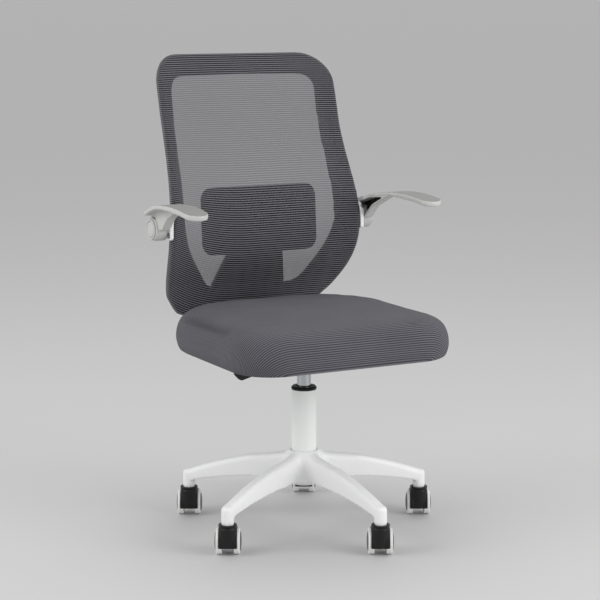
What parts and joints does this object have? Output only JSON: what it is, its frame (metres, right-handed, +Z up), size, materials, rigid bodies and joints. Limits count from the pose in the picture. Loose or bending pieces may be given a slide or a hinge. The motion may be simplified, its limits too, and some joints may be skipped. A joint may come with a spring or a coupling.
{
  "type": "office chair",
  "caption": "Swivel office chair with a dished mesh back, cushioned seat, flip-up arms, gas lift with a lever, and a star base on twin-wheel casters.",
  "frame": {"origin": "on the floor, on the axis of the column", "axes": "+Z up, the sitter faces -Y, +X to the sitter's left"},
  "size_m": [0.564, 0.5857, 0.9401],
  "materials": {
    "white_nylon": "satin moulded white",
    "white_steel": "white powder coat",
    "chrome": "polished plating",
    "steel": "bright steel",
    "black_steel": "black powder coat",
    "black_plastic": "satin moulded black",
    "dark_plastic": "moulded dark grey",
    "arm_plastic": "satin moulded light grey",
    "tyre": "white polyurethane",
    "wheel_disc": "satin dark grey",
    "plywood": "bare plywood",
    "seat_fabric": "ribbed grey fabric over foam",
    "mesh_fabric": "ribbed grey mesh",
    "pad_fabric": "dark grey foam pad"
  },
  "bodies": {
    "base": {"star_base": "white_nylon", "column_tube": "white_steel", "column_bush": "black_plastic", "thrust_bearing": "steel"},
    "rod": {"piston_rod": "steel", "rod_clip": "steel"},
    "seat": {"lift_cylinder": "chrome", "mechanism_plate": "black_steel", "lever_pin": "steel", "seat_board": "plywood", "seat_cushion": "seat_fabric", "seat_bolts": "steel", "back_mesh": "mesh_fabric", "lumbar_pad": "pad_fabric", "back_bar": "black_steel", "back_bolts": "steel", "back_frame": "dark_plastic", "bracket_bolts": "steel", "arm_bracket_left": "white_nylon", "arm_pivot_left": "steel", "arm_bracket_right": "white_nylon", "arm_pivot_right": "steel"},
    "lever": {"height_lever": "black_steel", "lever_paddle": "black_plastic"},
    "button": {"release_button": "steel"},
    "arm_left": {"armrest_left": "arm_plastic", "arm_cap_left": "arm_plastic"},
    "arm_right": {"armrest_right": "arm_plastic", "arm_cap_right": "arm_plastic"},
    "caster_1": {"caster_hood_1": "black_plastic", "caster_pins_1": "steel"},
    "wheel_1_left": {"wheel_tyre_1_left": "tyre", "wheel_disc_1_left": "wheel_disc"},
    "wheel_1_right": {"wheel_tyre_1_right": "tyre", "wheel_disc_1_right": "wheel_disc"},
    "caster_2": {"caster_hood_2": "black_plastic", "caster_pins_2": "steel"},
    "wheel_2_left": {"wheel_tyre_2_left": "tyre", "wheel_disc_2_left": "wheel_disc"},
    "wheel_2_right": {"wheel_tyre_2_right": "tyre", "wheel_disc_2_right": "wheel_disc"},
    "caster_3": {"caster_hood_3": "black_plastic", "caster_pins_3": "steel"},
    "wheel_3_left": {"wheel_tyre_3_left": "tyre", "wheel_disc_3_left": "wheel_disc"},
    "wheel_3_right": {"wheel_tyre_3_right": "tyre", "wheel_disc_3_right": "wheel_disc"},
    "caster_4": {"caster_hood_4": "black_plastic", "caster_pins_4": "steel"},
    "wheel_4_left": {"wheel_tyre_4_left": "tyre", "wheel_disc_4_left": "wheel_disc"},
    "wheel_4_right": {"wheel_tyre_4_right": "tyre", "wheel_disc_4_right": "wheel_disc"},
    "caster_5": {"caster_hood_5": "black_plastic", "caster_pins_5": "steel"},
    "wheel_5_left": {"wheel_tyre_5_left": "tyre", "wheel_disc_5_left": "wheel_disc"},
    "wheel_5_right": {"wheel_tyre_5_right": "tyre", "wheel_disc_5_right": "wheel_disc"}
  },
  "joints": [
    {"name": "seat_swivel", "type": "hinge", "parent": "base", "child": "rod", "pos_m": [0, 0, 0.1], "axis": [0, 0, 1], "continuous": true},
    {"name": "seat_lift", "type": "slide", "parent": "rod", "child": "seat", "axis": [0, 0, 1], "range_m": [0, 0.1]},
    {"name": "lever_lift", "type": "hinge", "parent": "seat", "child": "lever", "pos_m": [-0.028, 0, 0.3516], "axis": [0, 1, 0], "range_deg": [0, 6], "stiffness_Nm_per_rad": 2, "springref_deg": -5.73},
    {"name": "valve_press", "type": "slide", "parent": "seat", "child": "button", "axis": [0, 0, -1], "range_m": [0, 0.0036]},
    {"name": "arm_flip_left", "type": "hinge", "parent": "seat", "child": "arm_left", "pos_m": [0.236, 0.18058, 0.59905], "axis": [-1, 0, 0], "range_deg": [0, 90]},
    {"name": "arm_flip_right", "type": "hinge", "parent": "seat", "child": "arm_right", "pos_m": [-0.236, 0.18058, 0.59905], "axis": [-1, 0, 0], "range_deg": [0, 90]},
    {"name": "caster_swivel_1", "type": "hinge", "parent": "base", "child": "caster_1", "pos_m": [0.1169, 0.21985, 0.06], "axis": [0, 0, 1], "continuous": true},
    {"name": "wheel_spin_1_left", "type": "hinge", "parent": "caster_1", "child": "wheel_1_left", "pos_m": [0.12253, 0.23045, 0.025], "axis": [0.8829, -0.4695, 0], "continuous": true},
    {"name": "wheel_spin_1_right", "type": "hinge", "parent": "caster_1", "child": "wheel_1_right", "pos_m": [0.12253, 0.23045, 0.025], "axis": [0.8829, -0.4695, 0], "continuous": true},
    {"name": "caster_swivel_2", "type": "hinge", "parent": "base", "child": "caster_2", "pos_m": [-0.17297, 0.17912, 0.06], "axis": [0, 0, 1], "continuous": true},
    {"name": "wheel_spin_2_left", "type": "hinge", "parent": "caster_2", "child": "wheel_2_left", "pos_m": [-0.16734, 0.18971, 0.025], "axis": [0.8829, -0.4695, 0], "continuous": true},
    {"name": "wheel_spin_2_right", "type": "hinge", "parent": "caster_2", "child": "wheel_2_right", "pos_m": [-0.16734, 0.18971, 0.025], "axis": [0.8829, -0.4695, 0], "continuous": true},
    {"name": "caster_swivel_3", "type": "hinge", "parent": "base", "child": "caster_3", "pos_m": [-0.2238, -0.10915, 0.06], "axis": [0, 0, 1], "continuous": true},
    {"name": "wheel_spin_3_left", "type": "hinge", "parent": "caster_3", "child": "wheel_3_left", "pos_m": [-0.21817, -0.09856, 0.025], "axis": [0.8829, -0.4695, 0], "continuous": true},
    {"name": "wheel_spin_3_right", "type": "hinge", "parent": "caster_3", "child": "wheel_3_right", "pos_m": [-0.21817, -0.09856, 0.025], "axis": [0.8829, -0.4695, 0], "continuous": true},
    {"name": "caster_swivel_4", "type": "hinge", "parent": "base", "child": "caster_4", "pos_m": [0.03465, -0.24658, 0.06], "axis": [0, 0, 1], "continuous": true},
    {"name": "wheel_spin_4_left", "type": "hinge", "parent": "caster_4", "child": "wheel_4_left", "pos_m": [0.04029, -0.23598, 0.025], "axis": [0.8829, -0.4695, 0], "continuous": true},
    {"name": "wheel_spin_4_right", "type": "hinge", "parent": "caster_4", "child": "wheel_4_right", "pos_m": [0.04029, -0.23598, 0.025], "axis": [0.8829, -0.4695, 0], "continuous": true},
    {"name": "caster_swivel_5", "type": "hinge", "parent": "base", "child": "caster_5", "pos_m": [0.24522, -0.04324, 0.06], "axis": [0, 0, 1], "continuous": true},
    {"name": "wheel_spin_5_left", "type": "hinge", "parent": "caster_5", "child": "wheel_5_left", "pos_m": [0.25085, -0.03264, 0.025], "axis": [0.8829, -0.4695, 0], "continuous": true},
    {"name": "wheel_spin_5_right", "type": "hinge", "parent": "caster_5", "child": "wheel_5_right", "pos_m": [0.25085, -0.03264, 0.025], "axis": [0.8829, -0.4695, 0], "continuous": true}
  ],
  "couplings": [
    {"joint": "valve_press", "follows": "lever_lift", "m_per_rad": 0.0335}
  ]
}
